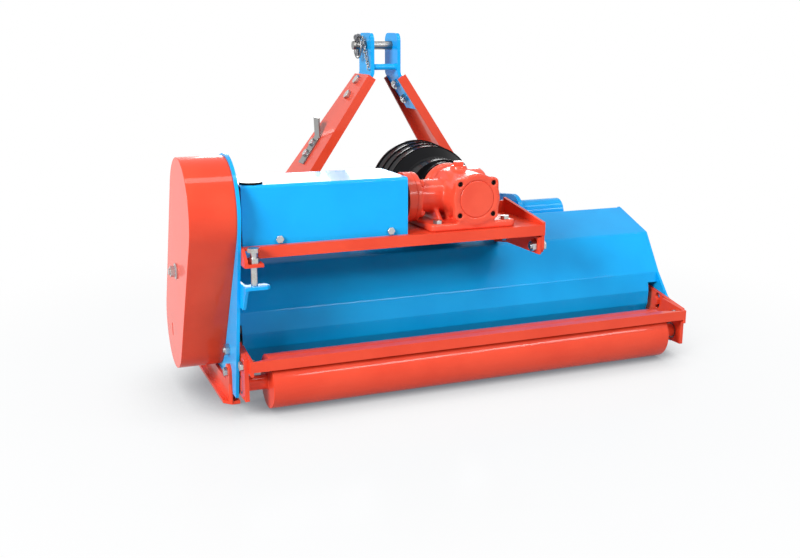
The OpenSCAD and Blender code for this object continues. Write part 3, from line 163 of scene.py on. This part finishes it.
world = bpy.data.worlds.new("studio")
world.use_nodes = True
world.node_tree.nodes.clear()
bpy.context.scene.world = world
s = Shade(world.node_tree)
backdrop = s.node("ShaderNodeBackground", {}, {"Color": (1, 1, 1, 1), "Strength": 1})
fill = s.node("ShaderNodeBackground", {}, {"Color": (0.62, 0.78, 1, 1), "Strength": 0.29})
s.node("ShaderNodeOutputWorld", {}, {
    "Surface": s.node("ShaderNodeMixShader", {}, {0: seen_rays(s), 1: fill, 2: backdrop})})

sweep_width, sweep_drop = 40, 0.0005
sweep_white, painted_shadow_grey = (1, 1, 1), (0.20, 0.21, 0.23)
shadow_reach, glow_near, fade_from, fade_to = 0.30, 0.90, 0.6, 1.3
bpy.ops.mesh.primitive_plane_add(size=sweep_width, location=(0, 0, -sweep_drop))
floor = bpy.context.object
floor.name = "studio_floor"
floor_paint, s, place = new_finish("white_sweep")
distance = s.node("ShaderNodeVectorMath", {"operation": "LENGTH"}, {0: place}, "Value")
# Painted shadow: an occlusion test turns the floor's glow cool grey under and beside the
# machine; only the small lit share of the floor takes the lamps' own shadow.
open_sky = s.node("ShaderNodeAmbientOcclusion", {"samples": 12},
                  {"Distance": shadow_reach}, "AO")
glow_with_painted_shadow = open_sky.between(0.04, 0.88).tint(painted_shadow_grey, sweep_white)
lit = s.node("ShaderNodeBsdfPrincipled", {}, {
    "Base Color": (0.52, 0.56, 0.59, 1), "Roughness": 0.22, "Specular IOR Level": 0.5})
glow = s.node("ShaderNodeEmission", {}, {"Color": glow_with_painted_shadow, "Strength": 1})
glowing = glow_near + (1 - glow_near) * distance.between(fade_from, fade_to)
s.node("ShaderNodeOutputMaterial", {}, {
    "Surface": s.node("ShaderNodeMixShader", {}, {0: glowing * seen_rays(s), 1: lit, 2: glow})})
floor.data.materials.append(floor_paint)

lit_middle = Vector((0, -0.1, 0.25))
for name, at, size, power in (
    ("lamp_key", (-3.1, -1.9, 1.9), (1.2, 1.2), 150),
    ("lamp_over", (0.9, -0.9, 2.6), (2.6, 0.5), 26),
    ("lamp_right", (1.3, -2.7, 1.6), (1.8, 0.30), 26),
    ("lamp_behind", (0.85, 2.85, 1.0), (1.5, 1.5), 42),
):
    bpy.ops.object.light_add(type="AREA", location=at)
    lamp = bpy.context.object
    lamp.name = name
    lamp.data.shape = "RECTANGLE"
    lamp.data.size, lamp.data.size_y = size
    lamp.data.energy = power
    if name != "lamp_over":  # that one hangs straight down
        lamp.rotation_euler = (lit_middle - Vector(at)).to_track_quat("-Z", "Y").to_euler()


# Side plates and hood: 6 mm and 4 mm steel, cut and folded, welded into one housing
# and sprayed gloss blue. The paint has a fine orange peel and pools a little darker.
def surface(s, sockets):
    """Ends a finish with its shader."""
    shader = s.node("ShaderNodeBsdfPrincipled", {}, sockets)
    s.node("ShaderNodeOutputMaterial", {}, {"Surface": shader})


def gloss_paint(name, colour, deep, coat):
    made, s, place = new_finish(name)
    cloud = s.node("ShaderNodeTexNoise", {}, {"Vector": place, "Scale": 9.0, "Detail": 4.0})
    peel = s.node("ShaderNodeTexNoise", {}, {"Vector": place, "Scale": 620.0, "Detail": 2.0})
    dust = s.node("ShaderNodeTexNoise", {}, {"Vector": place, "Scale": 2400.0, "Detail": 1.0})
    tone = cloud.between(0.36, 0.62).tint(deep, colour)
    specks = (dust.between(0.70, 0.80) * 0.10).tint(tone, (0.9, 0.88, 0.85))
    bump = s.node("ShaderNodeBump", {}, {"Height": peel, "Strength": 0.06, "Distance": 0.0006})
    surface(s, {
        "Base Color": specks, "Roughness": 0.24 + 0.10 * cloud + 0.06 * peel, "Normal": bump,
        "Coat Weight": coat, "Coat Roughness": 0.05, "Specular IOR Level": 0.06})
    return made


merged_within, flat_within = 0.00002, math.radians(0.6)
sharp_corner = math.radians(32)
fold_steps = 4


def copied(node):
    """A merged copy of a solid, alone selected, ready for its finish."""
    piece = bpy.data.objects.new(node + "_finished", frame["nodes"][node].data.copy())
    bpy.context.scene.collection.objects.link(piece)
    bpy.ops.object.select_all(action="DESELECT")
    piece.select_set(True)
    bpy.context.view_layer.objects.active = piece
    bpy.ops.object.mode_set(mode="EDIT")
    bpy.ops.mesh.select_all(action="SELECT")
    bpy.ops.mesh.remove_doubles(threshold=merged_within)
    bpy.ops.mesh.dissolve_limited(angle_limit=flat_within)
    bpy.ops.object.mode_set(mode="OBJECT")
    return piece


def rounded(piece, chosen, radius):
    """Rounds the folds of a sheet: the edges that chosen(angle, end, other end) picks."""
    mesh = piece.data
    sides = {}
    for face in mesh.polygons:
        for key in face.edge_keys:
            sides.setdefault(key, []).append(face.normal.copy())
    bpy.ops.object.mode_set(mode="EDIT")
    bpy.ops.mesh.select_mode(type="EDGE")
    bpy.ops.mesh.select_all(action="DESELECT")
    bpy.ops.object.mode_set(mode="OBJECT")
    for edge in mesh.edges:
        normals = sides.get(edge.key, [])
        angle = math.degrees(normals[0].angle(normals[1])) if len(normals) == 2 else 0
        edge.select = chosen(angle, *(mesh.vertices[i].co for i in edge.vertices))
    bpy.ops.object.mode_set(mode="EDIT")
    bpy.ops.mesh.bevel(offset=radius, segments=fold_steps, affect="EDGES", clamp_overlap=True)
    bpy.ops.object.mode_set(mode="OBJECT")


def handed_over(piece, node, paint, across=None):
    """Puts a finished copy, in its paint, on the machine in place of the solid."""
    piece.data.materials.clear()
    piece.data.materials.append(paint)
    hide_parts(node)
    if across:
        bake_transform(piece)
    else:
        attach(piece, frame["nodes"][node]["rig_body"])
    return piece


def finished(node, paint, ease, steps=2, folds=None, radius=0, across=None):
    """A copy of a solid with its edges eased as the shop leaves them, in its finish."""
    piece = copied(node)
    if folds:
        rounded(piece, folds, radius)
    bevel = piece.modifiers.new("eased", "BEVEL")
    bevel.width = ease
    bevel.segments = steps
    bevel.limit_method = "ANGLE"
    bevel.angle_limit = sharp_corner
    bpy.ops.object.modifier_apply(modifier="eased")
    bpy.ops.object.shade_smooth_by_angle(angle=sharp_corner)
    even = piece.modifiers.new("flat_sheets", "WEIGHTED_NORMAL")
    even.weight = 100
    even.keep_sharp = True
    bpy.ops.object.modifier_apply(modifier="flat_sheets")
    return handed_over(piece, node, paint, across)


least_fold, most_fold, hood_fold_length = 4, 50, 0.3


def hood_fold(angle, a, b):
    """The shallow bends that run along the hood, and none of its cut edges."""
    return least_fold < angle < most_fold and abs(a.x - b.x) > hood_fold_length


blue_paint = gloss_paint("blue_gloss_paint", colour=(0.003, 0.405, 0.850),
                         deep=(0.002, 0.370, 0.810), coat=0.30)
for node in ("left_side_plate", "right_side_plate"):
    finished(node, blue_paint, ease=0.0006)
finished("hood", blue_paint, ease=0.0006, folds=hood_fold, radius=0.006)


# Cross tube and hitch arms: a thick tube across the front of the hood with two torch
# cut plates threaded on it, arc welded all round on both faces, in the same blue.
def weld_ring(name, bar, x, paint, size, ripples, radius=None):
    """A rippled fillet of weld round a bar that lies along X, or round its thinner end."""
    low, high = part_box(bar)
    centre = ((low[1] + high[1]) / 2, (low[2] + high[2]) / 2)
    bead_sides, ripple_steps, ripple_dip = 8, 3, 0.28
    bpy.ops.object.select_all(action="DESELECT")
    bpy.ops.mesh.primitive_torus_add(
        align="WORLD", location=(x, *centre), rotation=(0, math.pi / 2, 0),
        major_segments=ripple_steps * ripples, minor_segments=bead_sides,
        major_radius=radius or (high[2] - low[2]) / 2, minor_radius=size)
    piece = bpy.context.object
    piece.name = name
    bpy.ops.object.transform_apply(location=True, rotation=True, scale=True)
    bpy.ops.object.mode_set(mode="EDIT")
    bpy.ops.mesh.select_mode(type="VERT")
    bpy.ops.mesh.select_all(action="DESELECT")
    bpy.ops.object.mode_set(mode="OBJECT")
    for i, point in enumerate(piece.data.vertices):
        point.select = i // bead_sides % ripple_steps == 0
    bpy.ops.object.mode_set(mode="EDIT")
    bpy.ops.transform.shrink_fatten(value=-ripple_dip * size)
    bpy.ops.object.mode_set(mode="OBJECT")
    bpy.ops.object.shade_smooth()
    piece.data.materials.append(paint)
    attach(piece, frame["nodes"][bar]["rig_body"])


for node in ("cross_tube", "left_hitch_arm", "right_hitch_arm"):
    finished(node, blue_paint, ease=0.0008)
for side in ("left", "right"):
    for face, corner in zip(("out", "in"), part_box(side + "_hitch_arm")):
        weld_ring(f"{side}_arm_weld_{face}", "cross_tube", corner[0], blue_paint,
                  size=0.0032, ripples=40)


# Uprights: tapered channels pressed from 6 mm sheet with rounded folds, in gloss orange
# red, bolted to the hitch arms at the foot and to the top link plates at the head.
orange_paint = gloss_paint("orange_gloss_paint", colour=(0.820, 0.068, 0.026),
                           deep=(0.775, 0.057, 0.021), coat=0.42)
for node in ("left_upright", "right_upright"):
    finished(node, orange_paint, ease=0.0012, steps=3)


# Top link plates and their spacer: flat bar bent along the uprights and bolted inside
# them, held apart by a short tube that is welded to both, in blue.
for node in ("left_top_plate", "right_top_plate", "spacer_tube"):
    finished(node, blue_paint, ease=0.0008)
for side, corner in zip(("left", "right"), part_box("spacer_tube")):
    weld_ring(f"{side}_spacer_weld", "spacer_tube", corner[0], blue_paint,
              size=0.0022, ripples=24)


# Lower link pins, shafts, pulleys, bearings and the flap rod: turned from bar, with fine
# tool marks round the bar and a thin film of oil.
def turned_steel(name, colour, rough):
    made, s, place = new_finish(name)
    lines = s.node("ShaderNodeMapping", {}, {"Vector": place, "Scale": (900, 60, 60)})
    marks = s.node("ShaderNodeTexNoise", {}, {"Vector": lines, "Scale": 1.0, "Detail": 3.0})
    film = s.node("ShaderNodeTexNoise", {}, {"Vector": place, "Scale": 22.0, "Detail": 5.0})
    dark = tuple(0.62 * c for c in colour)
    tone = s.node("ShaderNodeValToRGB", {"stops": ((0.25, dark), (0.75, colour))},
                  {0: 0.5 * marks + 0.5 * film})
    bump = s.node("ShaderNodeBump", {}, {"Height": marks, "Strength": 0.12, "Distance": 0.0003})
    surface(s, {
        "Base Color": tone, "Metallic": 1.0, "Roughness": rough + 0.18 * film, "Normal": bump})
    return made


steel = turned_steel("turned_steel", (0.30, 0.30, 0.31), rough=0.24)
for node in ("lower_link_pins", "flap_rod", "drive_shaft", "outboard_bearing", "input_shaft",
             "rotor_bearings", "upper_pulley", "lower_pulley", "roller_bearings"):
    finished(node, steel, ease=0.0005)


# Linchpin: a short forged pin through the tail of the top link pin, blackened, with a
# spring ring that snaps over and a chain that keeps it.
dark_steel = turned_steel("blackened_steel", (0.16, 0.16, 0.17), rough=0.30)
finished("linchpin", dark_steel, ease=0.0006, steps=3)


# Top link pin, ring, chain, shaft holder and every bolt and nut: zinc plated, greyish
# with a faint yellow and blue bloom and dulled flats.
def zinc_plate(name, rough, share):
    made, s, place = new_finish(name)
    bloom = s.node("ShaderNodeTexNoise", {}, {"Vector": place, "Scale": 70.0, "Detail": 4.0})
    frost = s.node("ShaderNodeTexNoise", {}, {"Vector": place, "Scale": 900.0, "Detail": 2.0})
    yellow, grey, blue = (
        tuple(share * c for c in colour)
        for colour in ((0.46, 0.44, 0.40), (0.52, 0.52, 0.51), (0.46, 0.48, 0.52))
    )
    tone = s.node("ShaderNodeValToRGB", {
        "stops": ((0.30, yellow), (0.50, grey), (0.72, blue))}, {0: bloom})
    bump = s.node("ShaderNodeBump", {}, {"Height": frost, "Strength": 0.10, "Distance": 0.0003})
    surface(s, {
        "Base Color": tone, "Metallic": 1.0, "Roughness": rough + 0.14 * bloom + 0.06 * frost,
        "Normal": bump})
    return made


def sprayed_over(piece, paint, covered):
    """Paints the faces of a piece whose middle covered(middle) picks."""
    piece.data.materials.append(paint)
    for face in piece.data.polygons:
        face.material_index = int(covered(face.center))


zinc = zinc_plate("zinc_plate", rough=0.18, share=1.05)
# The top link pin, its ring and chain and the shaft holder take the same zinc at about half its
# brightness.
darker_zinc = zinc_plate("dull_zinc_plate", rough=0.20, share=0.52)
for node in ("hitch_bolts", "guard_stud", "guard_nut", "tension_bolt", "tension_locknut",
             "plate_bolts", "frame_bolts", "cover_bolts", "flail_bolts", "bar_bolts"):
    finished(node, zinc, ease=0.0004)
for node in ("top_link_pin", "linchpin_ring", "linchpin_chain", "shaft_holder"):
    finished(node, darker_zinc, ease=0.0004)
inside_left, inside_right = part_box("left_side_plate")[1][0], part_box("right_side_plate")[0][0]
sprayed_over(finished("arm_bolts", zinc, ease=0.0004), orange_paint,
             lambda middle: inside_left < middle.x < inside_right)


# Drive frame: a tray folded from 6 mm sheet with an end plate and a gusset, in orange
# red like the lug under its far end, which is welded to the hood.
tray_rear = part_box("drive_frame")[0][1]
rear_within, square_fold, tray_fold_length = 0.0005, 60, 0.15


def tray_fold(angle, a, b):
    """The long square edges of the tray's rear face."""
    at_rear = max(a.y, b.y) < tray_rear + rear_within
    return angle > square_fold and at_rear and abs(a.x - b.x) > tray_fold_length


finished("frame_support", orange_paint, ease=0.0008)
finished("drive_frame", orange_paint, ease=0.0012, folds=tray_fold,
         radius=0.0045)


# Gearbox: cast iron with soft fillets, a lid let into its rear flange between four screw
# holes, and a flanged neck for the drive shaft, sprayed orange red with the neck's bolts.
rear_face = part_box("gearbox_housing")[0][1]
lid_low, lid_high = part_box("gearbox_cover")
lid_x, lid_z = (lid_low[0] + lid_high[0]) / 2, (lid_low[2] + lid_high[2]) / 2
screw_aside, screw_above, screw_radius = 0.035, 0.030, 0.0050
# The walls of the four screw holes, and the near black painted into them as their shade.
hole_rim, hole_depth, hole_fade = 0.0012, 0.012, 0.001
hole_shade_colour = (0.030, 0.016, 0.014)
foot_bolt_top = 0.340


def cast_paint(name, painted_hole_shade):
    made, s, place = new_finish(name)
    sand = s.node("ShaderNodeTexNoise", {}, {"Vector": place, "Scale": 260.0, "Detail": 5.0})
    cloud = s.node("ShaderNodeTexNoise", {}, {"Vector": place, "Scale": 16.0, "Detail": 4.0})
    tone = cloud.between(0.35, 0.65).tint((0.790, 0.072, 0.034), (0.840, 0.088, 0.042))
    if painted_hole_shade:
        # Painted shade: inside the screw holes, past the rim and down to their floor, the cast
        # colour turns near black.
        x, y, z = (s.node("ShaderNodeSeparateXYZ", {}, {0: place}, axis) for axis in "XYZ")
        aside = s.math("ABSOLUTE", x - lid_x) - screw_aside
        above = s.math("ABSOLUTE", z - lid_z) - screw_above
        away = s.math("SQRT", aside * aside + above * above)
        in_hole = 1 - away.between(0.92 * screw_radius, 1.04 * screw_radius)
        past_rim = y.between(rear_face + 0.5 * hole_rim, rear_face + hole_rim)
        floor_y = rear_face + hole_depth
        in_flange = 1 - y.between(floor_y, floor_y + hole_fade)
        tone = (in_hole * past_rim * in_flange).tint(tone, hole_shade_colour)
    bump = s.node("ShaderNodeBump", {}, {"Height": sand, "Strength": 0.22, "Distance": 0.0008})
    surface(s, {
        "Base Color": tone, "Roughness": 0.24 + 0.14 * sand, "Normal": bump,
        "Coat Weight": 0.36, "Coat Roughness": 0.13, "Specular IOR Level": 0.12})
    return made


cast_orange = cast_paint("orange_cast_iron", painted_hole_shade=False)
housing = copied("gearbox_housing")
skin = housing.modifiers.new("sand_skin", "REMESH")
skin.mode = "VOXEL"
skin.voxel_size = 0.0022
bpy.ops.object.modifier_apply(modifier="sand_skin")
soft = housing.modifiers.new("fillets", "SMOOTH")
soft.factor = 0.5
soft.iterations = 7
bpy.ops.object.modifier_apply(modifier="fillets")
bpy.ops.object.shade_smooth()
handed_over(housing, "gearbox_housing", cast_paint("drilled_cast_iron", painted_hole_shade=True))
for node in ("gearbox_cover", "output_flange"):
    finished(node, cast_orange, ease=0.0020, steps=4)
finished("filler_plug", cast_orange, ease=0.0006)
sprayed_over(finished("gearbox_bolts", zinc, ease=0.0004), cast_orange,
             lambda middle: middle.z > foot_bolt_top)


# Belt guard: a deep drawn cup of 2 mm sheet over both pulleys, in gloss orange red,
# held to a stud by one flanged nut of bright zinc.
finished("belt_guard", orange_paint, ease=0.0016, steps=3)


# Guard over the input shaft: a bell moulded in black plastic with a turned rim, glossy
# from the mould, and a push-in plug in the shaft cover of the same stuff.
black = (0.004, 0.004, 0.0045)
greyer_black = tuple(1.6 * c for c in black)
black_plastic, s, place = new_finish("moulded_black_plastic")
grain = s.node("ShaderNodeTexNoise", {}, {"Vector": place, "Scale": 1100.0, "Detail": 2.0})
flow = s.node("ShaderNodeTexNoise", {}, {"Vector": place, "Scale": 14.0, "Detail": 3.0})
bump = s.node("ShaderNodeBump", {}, {"Height": grain, "Strength": 0.05, "Distance": 0.0004})
surface(s, {
    "Base Color": flow.between(0.3, 0.7).tint(black, greyer_black),
    "Roughness": 0.13 + 0.08 * flow, "Normal": bump, "Specular IOR Level": 0.09})
finished("input_guard", black_plastic, ease=0.0012, steps=3)
finished("cover_plug", black_plastic, ease=0.0008)


# Tension bracket, shaft cover and front flaps: sheet folded on the brake and sprayed
# blue. The bracket is welded to the side plate, the flaps hang loose on their rod.
for node in ("tension_bracket", "shaft_cover", "front_flaps"):
    finished(node, blue_paint, ease=0.0008)


# Belts: wedge section belts of black rubber in a fabric cover, moulded endless and run
# over both pulleys. On the machine their upper end follows the tension slide; here they stay
# fixed in place.
belt_rubber, s, place = new_finish("belt_rubber")
weave = s.node("ShaderNodeTexNoise", {}, {"Vector": place, "Scale": 1500.0, "Detail": 2.0})
wear = s.node("ShaderNodeTexNoise", {}, {"Vector": place, "Scale": 40.0, "Detail": 4.0})
bump = s.node("ShaderNodeBump", {}, {"Height": weave, "Strength": 0.3, "Distance": 0.0004})
surface(s, {
    "Base Color": wear.tint((0.012, 0.012, 0.012), (0.035, 0.034, 0.033)),
    "Roughness": 0.62 + 0.2 * weave, "Normal": bump})
pulley_centres = [tuple((low + high) / 2 for low, high in zip(*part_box(node)))
                  for node in ("lower_pulley", "upper_pulley")]
finished("v_belts", belt_rubber, ease=0.0006,
         across=("chassis", "drive_unit", *pulley_centres))


# Rotor and flails: a heavy tube with welded lugs and forged flails that swing on bolts,
# left in dark mill scale with a little bare metal showing.
forged = turned_steel("forged_steel", (0.26, 0.25, 0.24), rough=0.38)
for node in ("rotor", "flails_a", "flails_b", "flails_c"):
    finished(node, forged, ease=0.0008)


# Skids, roller arms, rear bar and roller: folded plate, flat bar and rolled tube in
# orange red. The roller's stubs are welded into its end discs.
for node in ("left_skid", "right_skid", "left_roller_arm", "right_roller_arm", "roller_bar",
             "roller"):
    finished(node, orange_paint, ease=0.0010, steps=3)
roller_low, roller_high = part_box("roller")
stub_length, stub_radius = 0.050, 0.014
for side, x in (("left", roller_low[0] + stub_length), ("right", roller_high[0] - stub_length)):
    weld_ring(f"{side}_stub_weld", "roller", x, orange_paint,
              size=0.0024, ripples=16, radius=stub_radius)
